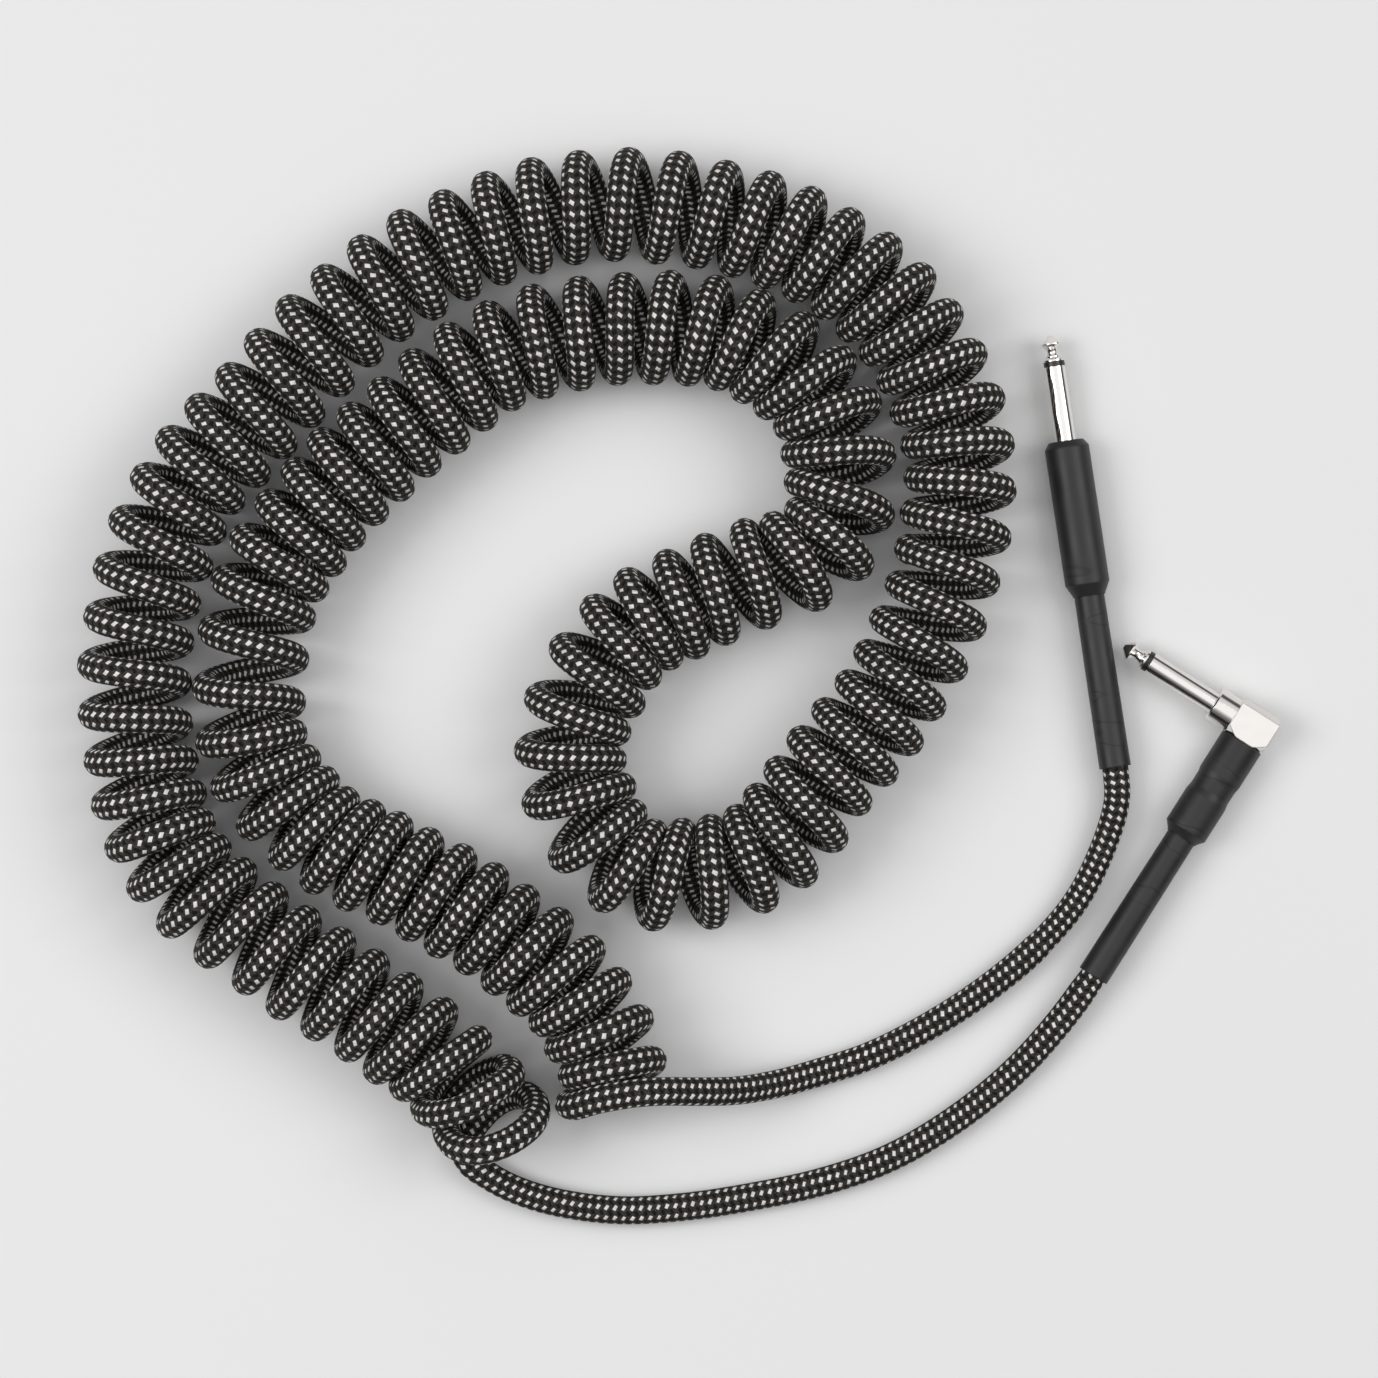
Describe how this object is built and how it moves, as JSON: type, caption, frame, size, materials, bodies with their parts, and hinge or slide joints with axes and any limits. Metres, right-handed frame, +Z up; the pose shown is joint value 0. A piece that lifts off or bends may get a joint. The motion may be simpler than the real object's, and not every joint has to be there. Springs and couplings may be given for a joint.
{
  "type": "instrument cable",
  "caption": "Curly braided instrument cable with a straight phone plug on one end and a right-angle phone plug on the other, sealed in heat shrink.",
  "frame": {"origin": "on the table, under the middle of the box that holds the two plugs", "axes": "+Z up from the table; +Y along the length that the two plugs span, towards the straight plug's tip; the curly cord lies towards -X"},
  "size_m": [0.3569, 0.3193, 0.0321],
  "materials": {
    "braid": "black and off-white braid, satin",
    "nickel": "bright nickel plating",
    "black_plastic": "moulded, semi-gloss",
    "heat_shrink": "heat-shrink tube, satin",
    "plated_brass": "tin-plated, dull",
    "fibre": "pressed fibre, matt",
    "clear_plastic": "thin plastic tube, matt",
    "core_plastic": "extruded insulation, matt",
    "copper": "bare copper strands"
  },
  "bodies": {
    "root": {"coiled_cord": "braid", "straight_lead": "braid", "angle_lead": "braid", "straight_tip_contact": "nickel", "straight_tip_insulator": "black_plastic", "straight_rod_insulator": "black_plastic", "straight_ground_sleeve": "nickel", "straight_ground_lug": "plated_brass", "straight_rear_washer": "fibre", "straight_tip_lug": "plated_brass", "straight_barrel": "nickel", "straight_liner": "clear_plastic", "straight_barrel_cover": "heat_shrink", "straight_strain_sleeve": "heat_shrink", "straight_core": "core_plastic", "straight_conductor": "copper", "straight_shield_tail": "copper", "angle_tip_contact": "nickel", "angle_tip_insulator": "black_plastic", "angle_rod_insulator": "black_plastic", "angle_ground_sleeve": "nickel", "angle_ground_lug": "plated_brass", "angle_rear_washer": "fibre", "angle_tip_lug": "plated_brass", "angle_elbow_body": "nickel", "angle_barrel": "nickel", "angle_liner": "clear_plastic", "angle_barrel_cover": "heat_shrink", "angle_strain_sleeve": "heat_shrink", "angle_core": "core_plastic", "angle_conductor": "copper", "angle_shield_tail": "copper"}
  },
  "joints": []
}
